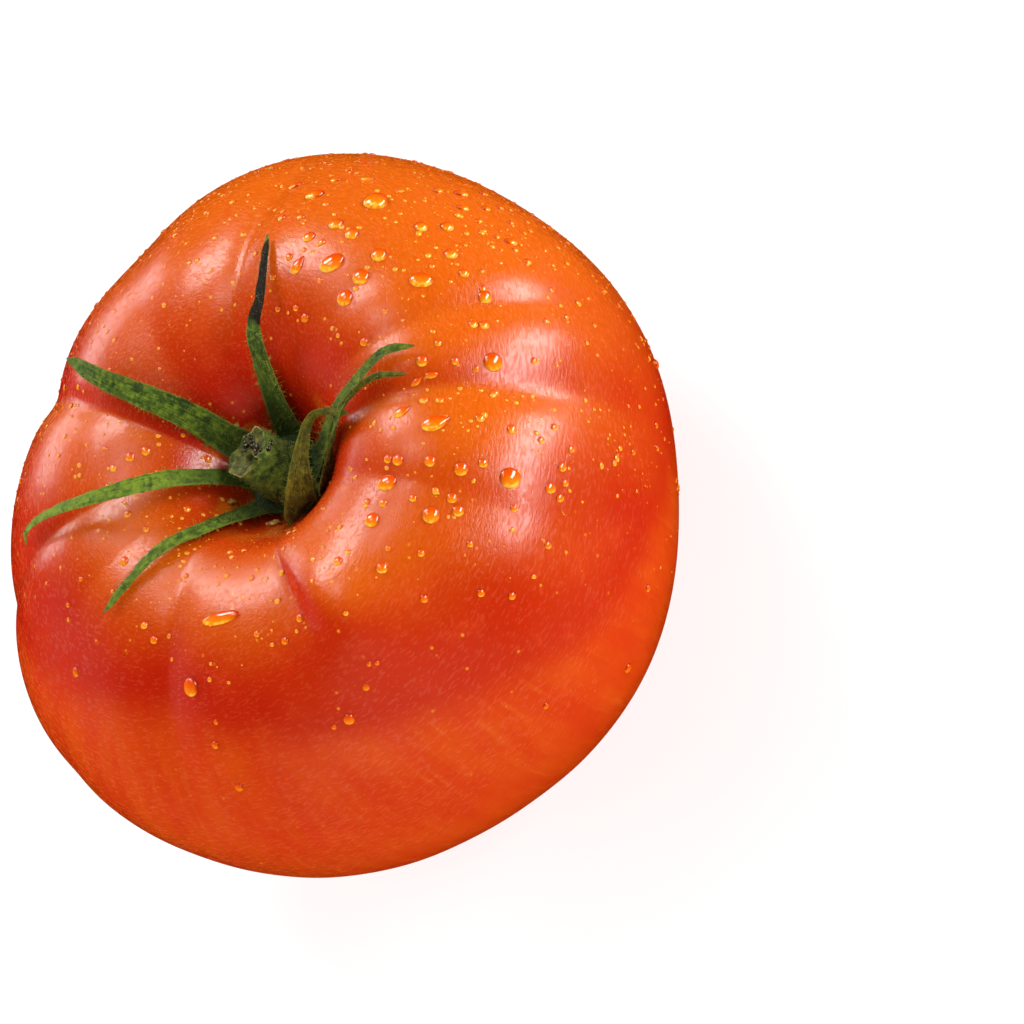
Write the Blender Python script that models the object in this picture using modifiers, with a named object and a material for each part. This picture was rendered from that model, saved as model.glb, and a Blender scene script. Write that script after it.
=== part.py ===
"""A ribbed beefsteak tomato as picked: the fruit, the calyx in its hollow and the stub of its stem.

Metres, +Z up. The fruit stands on its blossom end, and the origin is the middle of the flat
spot that it rests on. Azimuths are degrees from +X towards +Y, and polar angles are degrees
from the stem end, about the middle of the fruit.
"""

import math

import bmesh
import bpy
import numpy as np
from mathutils import Vector

MM = 0.001

# Fruit: a squat turned form, made lopsided, furrowed and hollowed at the stem end
EQUATOR_RADIUS = 47.1 * MM
SHOULDER_RISE = 33.4 * MM
BASE_DROP = 34.0 * MM
FLAT_SPOT_RISE = 0.6 * MM
SIDE_POWER = 0.86
CAP_POWER = 0.92
# How lopsided the outline is: waves round the fruit, share of the radius, azimuth of a crest
OUTLINE_WAVES = (
    (1, 0.011, 7),
    (2, 0.021, 24),
    (3, 0.021, 39),
    (4, 0.003, -8),
    (5, 0.0045, -35),
    (6, 0.008, -23),
)
# Furrows down the shoulders: azimuth, depth in millimetres, widths on the side before and the
# side after in degrees, and the polar angle and reach where each is deepest
FURROWS = (
    (26, 2.0, 7, 7, 34, 22),
    (62, 0.7, 12, 12, 48, 55),
    (99, 2.6, 9, 9, 48, 55),
    (142, 1.4, 6, 6, 48, 55),
    (170, 0.8, 9, 9, 48, 55),
    (204, 2.0, 9, 9, 38, 24),
    (248, 2.2, 12, 3, 29, 11),
    (262, 0.8, 14, 14, 66, 24),
    (287, 1.4, 16, 8, 38, 30),
    (311, 2.4, 7, 7, 48, 36),
    (328, 1.6, 7, 7, 50, 30),
    (345, 0.8, 8, 8, 50, 30),
    (20, 0.9, 30, 30, 80, 30),
)
FURROW_SHARPNESS = 0.25
# A fuller lobe beside the shortest furrow, given the same way with one width
LOBE = (253, 2.2, 13, 37, 12)
# Hollow round the stem: a wide bowl with a steep-sided well at its bottom
HUB_X = 2.0 * MM
HUB_Y = -4.8 * MM
BOWL_DEPTH = 13.0 * MM
BOWL_RADIUS = 17.0 * MM
WELL_DEPTH = 5.5 * MM
WELL_RADIUS = 9.5 * MM
FRUIT_MERIDIANS = 90
FRUIT_RINGS = 38
STEM_END_CROWDING = 1.35
HEIGHT_HALVINGS = 40

# Calyx: seven sepals on a small bowl-shaped receptacle
RECEPTACLE_RADIUS = 5.2 * MM
RECEPTACLE_THICKNESS = 2.4 * MM
RECEPTACLE_CLEARANCE = 0.6 * MM
RECEPTACLE_SIDES = 24
RECEPTACLE_RINGS = 10
STEM_SEAT_HEIGHT = 3.2 * MM
SEPAL_THICKNESS = 0.9 * MM
SEPAL_CLEARANCE = 1.5 * MM
SEPAL_ROOT_DISTANCE = 3.0
SEPAL_ROOT_LIFT = 1.6
SEPAL_LENGTHWISE = 18
SEPAL_ACROSS = 2
PATH_STEPS = 24
# A sepal's root is an azimuth and a width. Its points are distance from the hub, azimuth, lift
# above the skin and width, in millimetres and degrees. Its upper face looks up at the root and
# turns to look along "face" within a share of its length. "fold" is how far its edges stand up.
FACE_TURN = 0.15
SEPALS = {
    "kinked": {
        "face": (0.0, 0.0, 1.0),
        "fold": 0.5,
        "root": (30, 4.6),
        "points": (
            (5.7, 30, 1.6, 4.6),
            (9.0, 27, 2.5, 3.6),
            (14.5, 23, 4.0, 2.4),
            (19.0, 22.5, 3.0, 1.5),
            (28.1, 28.5, 1.2, 0.9),
        ),
    },
    "straight": {
        "face": (-0.2, 0.0, 1.0),
        "fold": 0.4,
        "root": (86, 4.4),
        "points": (
            (7.3, 88, 1.6, 4.4),
            (12.2, 89, 2.0, 3.5),
            (22.2, 93, 2.2, 2.6),
            (28.6, 92.7, 3.0, 1.6),
            (30.6, 92.5, 3.5, 0.9),
        ),
    },
    "arched": {
        "face": (0.0, 0.0, 1.0),
        "fold": 0.3,
        "root": (118, 3.4),
        "points": (
            (6.2, 123, 2.0, 3.0),
            (10.3, 136, 5.0, 2.7),
            (17.2, 139, 4.5, 2.1),
            (26.7, 135, 3.0, 1.2),
            (33.0, 133.5, 1.7, 0.9),
            (34.3, 135.6, 1.2, 0.8),
        ),
    },
    "low": {
        "face": (0.0, 0.0, 1.0),
        "fold": 0.3,
        "root": (172, 3.4),
        "points": (
            (5.6, 170, 1.6, 3.2),
            (10.5, 173, 1.8, 2.2),
            (16.6, 171, 1.6, 1.6),
            (25.9, 171, 1.2, 0.9),
        ),
    },
    "upright": {
        "face": (0.1, -0.9, 0.4),
        "fold": 0.3,
        "root": (238, 4.4),
        "points": (
            (6.8, 246, 2.6, 4.6),
            (7.3, 272, 5.9, 3.4),
            (7.4, 293, 7.3, 2.2),
            (9.3, 320, 6.2, 1.2),
            (11.6, 321, 3.9, 0.9),
            (15.4, 313, 2.2, 0.8),
        ),
    },
    "twisted": {
        "face": (0.5, -0.8, 0.2),
        "fold": 0.2,
        "root": (276, 2.0),
        "points": (
            (6.0, 278, 1.8, 2.4),
            (9.0, 300, 1.8, 2.0),
            (13.2, 317, 2.4, 1.3),
            (19.5, 321, 2.5, 0.9),
            (24.2, 318, 2.4, 0.8),
        ),
    },
    "channelled": {
        "face": (-0.2, 0.3, 0.9),
        "fold": 0.8,
        "root": (322, 4.6),
        "points": (
            (5.4, 312, 2.2, 4.8),
            (12.2, 315, 2.0, 3.4),
            (15.6, 321.5, 2.2, 2.1),
            (22.1, 327, 2.0, 1.4),
            (26.0, 325, 2.1, 0.8),
        ),
    },
}

# Stem: the short stub left when the fruit was snapped from its truss
STEM_GAP = 0.3 * MM
STEM_RADIUS = 3.3 * MM
STEM_FLARE = 0.3 * MM
STEM_LENGTH = 5.6 * MM
STEM_LEAN = 22
STEM_BEND = 1.3
STEM_SIDES = 20
STEM_RINGS = 5
# Waves round the broken end: how many, their share of the raggedness and their turn
STEM_END_WAVES = ((3, 1.0, 0.8), (7, 0.6, 0.0))
STEM_END_RAGGEDNESS = 0.5 * MM
STEM_END_PIT = 0.9 * MM

FLAT_SPOT_HEIGHT = FLAT_SPOT_RISE - BASE_DROP


def clear_scene():
    for old in list(bpy.data.objects):
        bpy.data.objects.remove(old, do_unlink=True)


def make_collection(name):
    collection = bpy.data.collections.new(name)
    bpy.context.scene.collection.children.link(collection)
    return collection


def make_material(name, colour, roughness):
    material = bpy.data.materials.new(name)
    material.use_nodes = True
    shader = material.node_tree.nodes["Principled BSDF"]
    shader.inputs["Base Color"].default_value = (*colour, 1.0)
    shader.inputs["Roughness"].default_value = roughness
    shader.inputs["Metallic"].default_value = 0.0
    return material


def add_object(name, bm, collection, material):
    mesh = bpy.data.meshes.new(name)
    bm.to_mesh(mesh)
    bm.free()
    mesh.materials.append(material)
    mesh.shade_smooth()
    made = bpy.data.objects.new(name, mesh)
    collection.objects.link(made)
    return made


def turned_away(azimuth, middle):
    """Degrees from the middle azimuth, from -180 to 180."""
    return (math.degrees(azimuth) - middle + 180) % 360 - 180


def furrow_depth(azimuth, polar):
    """How far the furrows press the skin in at one place, less the fuller lobe, in metres."""
    depth = 0.0
    for middle, millimetres, before, after, polar_middle, reach in FURROWS:
        away = turned_away(azimuth, middle)
        width = before if away < 0 else after
        steps = math.hypot(away / width, FURROW_SHARPNESS) - FURROW_SHARPNESS
        fading = ((math.degrees(polar) - polar_middle) / reach) ** 2
        depth += millimetres * MM * math.exp(-steps - fading)
    middle, millimetres, width, polar_middle, reach = LOBE
    from_top = ((math.degrees(polar) - polar_middle) / reach) ** 2
    from_top += (turned_away(azimuth, middle) / width) ** 2
    lobe = millimetres * MM * math.exp(-from_top)
    return depth * math.sqrt(max(math.sin(polar), 0.0)) - lobe


def girth(azimuth):
    """The share by which the lopsided outline grows or shrinks the radius."""
    share = 1.0
    for waves, amount, crest in OUTLINE_WAVES:
        share *= 1 + amount * math.cos(waves * (azimuth - math.radians(crest)))
    return share


def skin_radius(azimuth, polar):
    """Distance of the skin from the fruit's upright axis."""
    sine = max(math.sin(polar), 0.0)
    turned = EQUATOR_RADIUS * girth(azimuth) * sine**SIDE_POWER
    return turned - furrow_depth(azimuth, polar) * sine


def hollow_depth(x, y):
    """How far the bowl and its well lower the skin."""
    away = math.hypot(x - HUB_X, y - HUB_Y)
    bowl = BOWL_DEPTH * math.exp(-((away / BOWL_RADIUS) ** 2))
    well = WELL_DEPTH * math.exp(-((away / WELL_RADIUS) ** 4))
    return bowl + well


def skin_point(azimuth, polar):
    """A point of the skin, with the flat spot at height 0."""
    radius = skin_radius(azimuth, polar)
    x = radius * math.cos(azimuth)
    y = radius * math.sin(azimuth)
    cosine = math.cos(polar)
    rise = SHOULDER_RISE if cosine > 0 else BASE_DROP
    z = math.copysign(rise * abs(cosine) ** CAP_POWER, cosine)
    z -= furrow_depth(azimuth, polar) * cosine
    if cosine > 0:
        z -= hollow_depth(x, y)
    return Vector((x, y, max(z, FLAT_SPOT_HEIGHT) - FLAT_SPOT_HEIGHT))


def skin_height(x, y):
    """Height of the upper skin over a point, found by halving the polar angle's range."""
    azimuth = math.atan2(y, x)
    low, high = 0.0, math.pi / 2
    for _ in range(HEIGHT_HALVINGS):
        middle = (low + high) / 2
        if skin_radius(azimuth, middle) < math.hypot(x, y):
            low = middle
        else:
            high = middle
    return skin_point(azimuth, low).z


def make_fruit(collection):
    bm = bmesh.new()
    bmesh.ops.create_uvsphere(
        bm, u_segments=FRUIT_MERIDIANS, v_segments=FRUIT_RINGS, radius=1.0
    )
    for vertex in bm.verts:
        azimuth = math.atan2(vertex.co.y, vertex.co.x)
        even_polar = math.acos(max(-1.0, min(1.0, vertex.co.z)))
        polar = math.pi * (even_polar / math.pi) ** STEM_END_CROWDING
        vertex.co = skin_point(azimuth, polar)
    skin = make_material("tomato_skin", (0.76, 0.09, 0.02), 0.28)
    return add_object("fruit", bm, collection, skin)


def make_receptacle(collection, material):
    """The bowl that the sepals grow from, shaped to the bottom of the well, flat on top."""
    bm = bmesh.new()
    bmesh.ops.create_uvsphere(
        bm, u_segments=RECEPTACLE_SIDES, v_segments=RECEPTACLE_RINGS, radius=1.0
    )
    seat = skin_height(HUB_X, HUB_Y) + STEM_SEAT_HEIGHT
    for vertex in bm.verts:
        x = HUB_X + RECEPTACLE_RADIUS * vertex.co.x
        y = HUB_Y + RECEPTACLE_RADIUS * vertex.co.y
        share = (vertex.co.z + 1) / 2
        z = skin_height(x, y) + RECEPTACLE_CLEARANCE + RECEPTACLE_THICKNESS * share
        vertex.co = (x, y, min(z, seat))
    return add_object("calyx", bm, collection, material)


def station_place(distance, azimuth, lift):
    """A point given in millimetres and degrees about the hub, and in millimetres above the skin."""
    angle = math.radians(azimuth)
    x = HUB_X + distance * MM * math.cos(angle)
    y = HUB_Y + distance * MM * math.sin(angle)
    return (x, y, skin_height(x, y) + lift * MM)


def smooth_path(points, count):
    """Evenly spaced points of a Catmull-Rom curve through the given ones, of any size."""
    points = np.array(points, float)
    ends = (2 * points[0] - points[1], 2 * points[-1] - points[-2])
    padded = np.vstack([ends[0], points, ends[1]])
    dense = []
    for before, start, end, after in zip(padded, padded[1:], padded[2:], padded[3:]):
        for t in np.linspace(0, 1, PATH_STEPS, endpoint=False):
            curve = 2 * start + (end - before) * t
            curve = curve + (2 * before - 5 * start + 4 * end - after) * t**2
            curve = curve + (3 * start - before - 3 * end + after) * t**3
            dense.append(curve / 2)
    dense.append(points[-1])
    dense = np.array(dense)
    steps = np.linalg.norm(np.diff(dense[:, :3], axis=0), axis=1)
    along = np.concatenate([[0], np.cumsum(steps)])
    wanted = np.linspace(0, along[-1], count)
    columns = [np.interp(wanted, along, column) for column in dense.T]
    return np.array(columns).T


def make_sepal(name, sepal, collection, material):
    """A thin blade along its path: a grid laid on the path, then thickened."""
    root_azimuth, root_width = sepal["root"]
    root = (SEPAL_ROOT_DISTANCE, root_azimuth, SEPAL_ROOT_LIFT, root_width)
    stations = []
    for distance, azimuth, lift, width in (root,) + sepal["points"]:
        stations.append((*station_place(distance, azimuth, lift), width * MM))
    path = smooth_path(stations, SEPAL_LENGTHWISE + 1)
    tangents = np.gradient(path[:, :3], axis=0)
    upright = Vector((0.0, 0.0, 1.0))
    bm = bmesh.new()
    bmesh.ops.create_grid(
        bm, x_segments=SEPAL_LENGTHWISE, y_segments=SEPAL_ACROSS, size=0.5
    )
    for vertex in bm.verts:
        index = round((vertex.co.x + 0.5) * SEPAL_LENGTHWISE)
        across = 2 * vertex.co.y
        turned = min(1.0, index / SEPAL_LENGTHWISE / FACE_TURN)
        face = upright.lerp(Vector(sepal["face"]), turned)
        forward = Vector(tangents[index]).normalized()
        sideways = face.cross(forward).normalized()
        upward = forward.cross(sideways)
        width = path[index][3]
        fold = sepal["fold"] * MM * abs(across) * width / path[:, 3].max()
        centre = Vector(path[index][:3])
        place = centre + sideways * across * width / 2 + upward * fold
        place.z = max(place.z, skin_height(place.x, place.y) + SEPAL_CLEARANCE)
        vertex.co = place
    bmesh.ops.triangulate(bm, faces=bm.faces)
    blade = add_object("sepal_" + name, bm, collection, material)
    solidify = blade.modifiers.new("thickness", "SOLIDIFY")
    solidify.thickness = SEPAL_THICKNESS
    solidify.offset = 0.0
    return blade


def apply_modifiers(made):
    """The evaluated mesh takes the place of the object's own."""
    graph = bpy.context.evaluated_depsgraph_get()
    finished = bpy.data.meshes.new_from_object(made.evaluated_get(graph))
    made.modifiers.clear()
    made.data = finished


def make_calyx(collection):
    material = make_material("calyx_green", (0.11, 0.20, 0.035), 0.65)
    calyx = make_receptacle(collection, material)
    blades = make_collection("sepal_blades")
    for name, sepal in SEPALS.items():
        apply_modifiers(make_sepal(name, sepal, blades, material))
    union = calyx.modifiers.new("sepals", "BOOLEAN")
    union.operation = "UNION"
    union.operand_type = "COLLECTION"
    union.collection = blades
    union.solver = "MANIFOLD"
    apply_modifiers(calyx)
    for blade in list(blades.objects):
        bpy.data.objects.remove(blade, do_unlink=True)
    bpy.data.collections.remove(blades)
    return calyx


def make_stem(collection):
    """A leaning stub, flared where it leaves the calyx, with a pitted broken end."""
    bm = bmesh.new()
    bmesh.ops.create_cone(
        bm,
        cap_ends=True,
        cap_tris=True,
        segments=STEM_SIDES,
        radius1=1.0,
        radius2=1.0,
        depth=1.0,
    )
    long_edges = [e for e in bm.edges if abs(e.verts[0].co.z - e.verts[1].co.z) > 0.5]
    bmesh.ops.subdivide_edges(bm, edges=long_edges, cuts=STEM_RINGS)
    foot = skin_height(HUB_X, HUB_Y) + STEM_SEAT_HEIGHT + STEM_GAP
    lean = math.tan(math.radians(STEM_LEAN))
    broken_end = STEM_RINGS / (STEM_RINGS + 1) + 0.01
    for vertex in bm.verts:
        share = vertex.co.z + 0.5
        around = math.atan2(vertex.co.y, vertex.co.x)
        from_axis = math.hypot(vertex.co.x, vertex.co.y)
        radius = STEM_RADIUS + STEM_FLARE * (1 - share) ** 3
        x = HUB_X + radius * vertex.co.x
        y = HUB_Y + radius * vertex.co.y + STEM_LENGTH * share**STEM_BEND * lean
        z = foot + STEM_LENGTH * share
        if share > broken_end:
            for waves, amount, turn in STEM_END_WAVES:
                crest = amount * math.sin(waves * around + turn)
                z += STEM_END_RAGGEDNESS * crest * from_axis
            z -= STEM_END_PIT * (1 - from_axis)
            z -= STEM_RADIUS * math.sin(around) * from_axis * lean
        vertex.co = (x, y, z)
    bark = make_material("stem_green", (0.13, 0.17, 0.04), 0.75)
    return add_object("stem", bm, collection, bark)


def main():
    clear_scene()
    tomato = make_collection("tomato")
    make_fruit(tomato)
    make_calyx(tomato)
    make_stem(tomato)


main()
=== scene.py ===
import math
import random

import bmesh
import bpy
import numpy as np
from mathutils import Matrix, Vector, noise
from mathutils.bvhtree import BVHTree


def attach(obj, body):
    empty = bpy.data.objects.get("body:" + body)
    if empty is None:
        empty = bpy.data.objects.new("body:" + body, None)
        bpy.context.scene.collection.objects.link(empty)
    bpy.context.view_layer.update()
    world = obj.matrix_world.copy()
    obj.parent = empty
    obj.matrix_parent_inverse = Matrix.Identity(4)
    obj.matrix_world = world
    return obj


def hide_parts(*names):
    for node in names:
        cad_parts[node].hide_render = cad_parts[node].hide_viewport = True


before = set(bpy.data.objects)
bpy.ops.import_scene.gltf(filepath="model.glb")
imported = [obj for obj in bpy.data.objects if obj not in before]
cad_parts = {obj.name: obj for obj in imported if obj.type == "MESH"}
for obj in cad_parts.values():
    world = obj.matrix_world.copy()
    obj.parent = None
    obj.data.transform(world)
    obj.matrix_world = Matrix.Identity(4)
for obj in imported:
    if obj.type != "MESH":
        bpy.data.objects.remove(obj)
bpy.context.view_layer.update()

# A ribbed tomato with its calyx, its broken stem and the water drops on its skin.
# Metres, +Z up, standing on its blossom end. The form repeats the solid's named values.

MM = 0.001
UP = Vector((0.0, 0.0, 1.0))
ABOVE_EVERYTHING = 0.2
# Small shapes pass through this mesh on their way into a larger one
SCRATCH = bpy.data.meshes.new("scratch")

# The fruit
EQUATOR_RADIUS = 47.1 * MM
SHOULDER_RISE = 33.4 * MM
BASE_DROP = 34.0 * MM
FLAT_SPOT_RISE = 0.6 * MM
FLAT_SPOT_HEIGHT = FLAT_SPOT_RISE - BASE_DROP
SIDE_POWER = 0.86
CAP_POWER = 0.92
# Waves round the outline: how many, share of the radius, azimuth of a crest
OUTLINE_WAVES = (
    (1, 0.011, 7),
    (2, 0.021, 24),
    (3, 0.021, 39),
    (4, 0.003, -8),
    (5, 0.0045, -35),
    (6, 0.008, -23),
)
# Furrows down the shoulders: azimuth, depth in millimetres, widths on the side before and the
# side after in degrees, and the polar angle and reach where each is deepest
FURROWS = (
    (26, 2.0, 7, 7, 34, 22),
    (62, 0.7, 12, 12, 48, 55),
    (99, 2.6, 9, 9, 48, 55),
    (142, 1.4, 6, 6, 48, 55),
    (170, 0.8, 9, 9, 48, 55),
    (204, 2.0, 9, 9, 38, 24),
    (248, 2.2, 12, 3, 29, 11),
    (262, 0.8, 14, 14, 66, 24),
    (287, 1.4, 16, 8, 38, 30),
    (311, 2.4, 7, 7, 48, 36),
    (328, 1.6, 7, 7, 50, 30),
    (345, 0.8, 8, 8, 50, 30),
    (20, 0.9, 30, 30, 80, 30),
)
FURROW_SHARPNESS = 0.25
# A fuller lobe beside the shortest furrow, given the same way with one width
LOBE = (253, 2.2, 13, 37, 12)
HUB_X = 2.0 * MM
HUB_Y = -4.8 * MM
BOWL_DEPTH = 13.0 * MM
BOWL_RADIUS = 17.0 * MM
WELL_DEPTH = 5.5 * MM
WELL_RADIUS = 9.5 * MM
SKIN_MERIDIANS = 384
SKIN_RINGS = 220
GRID_EDGE = 0.4999
MERIDIAN_STEPS = 720
STEM_END_CROWDING = 1.35
LUMP_HEIGHT = 0.16 * MM
LUMP_PITCH = 95.0
SCAR_RADIUS = 2.2 * MM
SCAR_DEPTH = 0.5 * MM

# The calyx
RECEPTACLE_RADIUS = 5.2 * MM
RECEPTACLE_THICKNESS = 2.4 * MM
RECEPTACLE_CLEARANCE = 0.35 * MM
RECEPTACLE_LUMPS = 0.25 * MM
RECEPTACLE_MERIDIANS = 64
RECEPTACLE_RINGS = 32
STEM_SEAT_HEIGHT = 3.2 * MM
SEPAL_ROOT_DISTANCE = 2.6
SEPAL_ROOT_LIFT = 1.6
SEPAL_CLEARANCE = 0.7 * MM
SEPAL_SINK = 0.4
SEPAL_RINGS = 90
SEPAL_SIDES = 28
PATH_STEPS = 24
FACE_TURN = 0.15
# What a sepal that stays green has as "dried": shares of its length that lie past its tip
NOT_DRIED = (2.0, 3.0)
# A sepal's root is an azimuth and a width. Its points are distance from the hub, azimuth, lift
# above the skin and width, in millimetres and degrees. Its upper face turns from looking up to
# looking along "face". "dried" is the shares of its length between which it turns black, "olive"
# how brown it is, and "hairs" is how many it carries.
SEPALS = {
    "kinked": {
        "face": (0.0, 0.0, 1.0),
        "fold": 0.5,
        "root": (30, 4.6),
        "points": (
            (5.7, 30, 1.6, 4.6),
            (9.0, 27, 2.5, 3.6),
            (14.5, 23, 4.0, 2.4),
            (19.0, 22.5, 3.0, 1.5),
            (28.1, 28.5, 1.2, 0.9),
        ),
        "dried": (0.52, 0.98),
        "olive": 0.1,
        "light": 0.25,
        "hairs": 420,
    },
    "straight": {
        "face": (-0.2, 0.0, 1.0),
        "fold": 0.4,
        "root": (86, 4.4),
        "points": (
            (7.3, 88, 1.6, 4.4),
            (12.2, 89, 2.0, 3.5),
            (22.2, 93, 2.2, 2.6),
            (28.6, 92.7, 3.0, 1.6),
            (30.6, 92.5, 3.5, 0.9),
        ),
        "dried": NOT_DRIED,
        "olive": 0.12,
        "light": 0.4,
        "hairs": 460,
    },
    "arched": {
        "face": (0.0, 0.0, 1.0),
        "fold": 0.3,
        "root": (118, 3.4),
        "points": (
            (6.2, 123, 2.0, 3.0),
            (10.3, 136, 5.0, 2.7),
            (17.2, 139, 4.5, 2.1),
            (26.7, 135, 3.0, 1.3),
            (33.0, 133.5, 1.7, 0.9),
            (34.3, 135.6, 1.2, 0.8),
        ),
        "dried": NOT_DRIED,
        "olive": 0.0,
        "light": 0.75,
        "hairs": 300,
    },
    "low": {
        "face": (0.0, 0.0, 1.0),
        "fold": 0.3,
        "root": (172, 3.4),
        "points": (
            (5.6, 170, 1.6, 3.2),
            (10.5, 173, 1.8, 2.2),
            (16.6, 171, 1.6, 1.6),
            (25.9, 171, 1.2, 0.9),
        ),
        "dried": NOT_DRIED,
        "olive": 0.05,
        "light": 0.55,
        "hairs": 260,
    },
    "upright": {
        "face": (0.1, -0.9, 0.4),
        "fold": 0.3,
        "root": (238, 4.4),
        "points": (
            (6.8, 246, 2.6, 4.6),
            (7.3, 272, 5.9, 3.4),
            (7.4, 293, 7.3, 2.2),
            (9.3, 320, 6.2, 1.2),
            (11.6, 321, 3.9, 0.9),
            (15.4, 313, 2.2, 0.8),
        ),
        "dried": NOT_DRIED,
        "olive": 0.85,
        "light": 0.3,
        "hairs": 340,
    },
    "twisted": {
        "face": (0.5, -0.8, 0.2),
        "fold": 0.2,
        "root": (276, 2.0),
        "points": (
            (6.0, 278, 1.8, 2.4),
            (9.0, 300, 1.8, 2.0),
            (13.2, 317, 2.4, 1.3),
            (19.5, 321, 2.5, 0.9),
            (24.2, 318, 2.4, 0.8),
        ),
        "dried": NOT_DRIED,
        "olive": 0.7,
        "light": 0.2,
        "hairs": 160,
    },
    "channelled": {
        "face": (-0.2, 0.3, 0.9),
        "fold": 0.8,
        "root": (322, 4.6),
        "points": (
            (5.4, 312, 2.2, 4.8),
            (12.2, 315, 2.0, 3.4),
            (15.6, 321.5, 2.2, 2.1),
            (22.1, 327, 2.0, 1.4),
            (26.0, 325, 2.1, 0.8),
        ),
        "dried": NOT_DRIED,
        "olive": 0.1,
        "light": 0.35,
        "hairs": 420,
    },
}
BLADE_MIDDLE_THICKNESS = 0.75 * MM
BLADE_EDGE_THICKNESS = 0.3 * MM
BLADE_RAGGEDNESS = 0.12 * MM
BLADE_TIP_TAPER = 14.0
BLADE_TIP_POWER = 0.6
MIDRIB_SOFTNESS = 0.15
DRYING_REACH = 0.16
DRIED_END_REACH = 0.04
HAIR_RADIUS = 0.026 * MM
HAIR_LENGTHS = (0.35, 1.0)
HAIR_SPREAD = 0.55
EDGE_HAIRS = 0.6
# Golden flakes where the petals stood: pixel across, pixel down, length, width and turn
CORK_FLAKES = (
    (232, 428, 16, 6, 30),
    (222, 433, 10, 5, 50),
    (232, 503, 10, 6, 10),
    (274, 525, 16, 5, 4),
    (303, 428, 12, 6, 40),
)

# The stem
STEM_GAP = 0.1 * MM
STEM_RADIUS = 3.3 * MM
STEM_FLARE = 0.5 * MM
STEM_LENGTH = 5.6 * MM
STEM_LEAN = 22
STEM_BEND = 1.3
STEM_SIDES = 72
STEM_ROWS = 60
STEM_WALL_SHARE = 0.62
STEM_LIP_REACH = 0.05
STEM_END_PIT = 1.5 * MM
STEM_HAIRS = 900
STEM_HAIR_LENGTHS = (0.2, 0.6)
# Beads of sap on its end: the middle and the spread of their pixels, and radii in millimetres
BEADS = 26
BEADS_ACROSS = (253, 5.5)
BEADS_DOWN = (444, 6.5)
BEAD_SIZES = (0.20, 0.42)

# The camera stands where the photograph was taken from, in the fruit's own frame
CAMERA_ELEVATION = math.radians(52)
CAMERA_ROLL = math.radians(60)
CAMERA_DISTANCE = 0.388
FOCAL_PIXELS = 2987.0
PICTURE_SIDE = 1024
AIM_PIXEL = (336.5, 517.0)
AIM_HEIGHT = -FLAT_SPOT_HEIGHT
SENSOR_WIDTH = 36.0
NEAREST_SEEN = 0.01

# The studio: the way to its front, where the pale sweep starts and stops fading on the way
# round to it, and how bright it is behind and in front
FRONT_OF_STUDIO = (0.0, -0.616, 0.788)
SWEEP_FADE = (-0.3, 0.4)
SWEEP_BEHIND = 0.95
SWEEP_IN_FRONT = 0.24
FLOOR_REACH = 3.0
# Soft lights: azimuth, elevation, distance from the fruit, width, height, roll, power, and
# whether the skin mirrors them
SOFTBOXES = {
    "softbox_right": (-33, 17, 0.60, 0.62, 0.16, -34, 3.3, True),
    "softbox_left": (62, 46, 0.60, 0.24, 0.22, 0, 1.3, True),
    "softbox_behind": (93, 12, 0.60, 0.24, 0.24, 0, 0.5, True),
    "softbox_above": (40, 74, 0.60, 0.16, 0.16, 0, 0.28, True),
    "low_fill": (225, 12, 0.80, 0.90, 0.60, 0, 4.6, False),
    "back_fill": (120, 20, 0.80, 0.80, 0.50, 0, 4.8, False),
}

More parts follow.
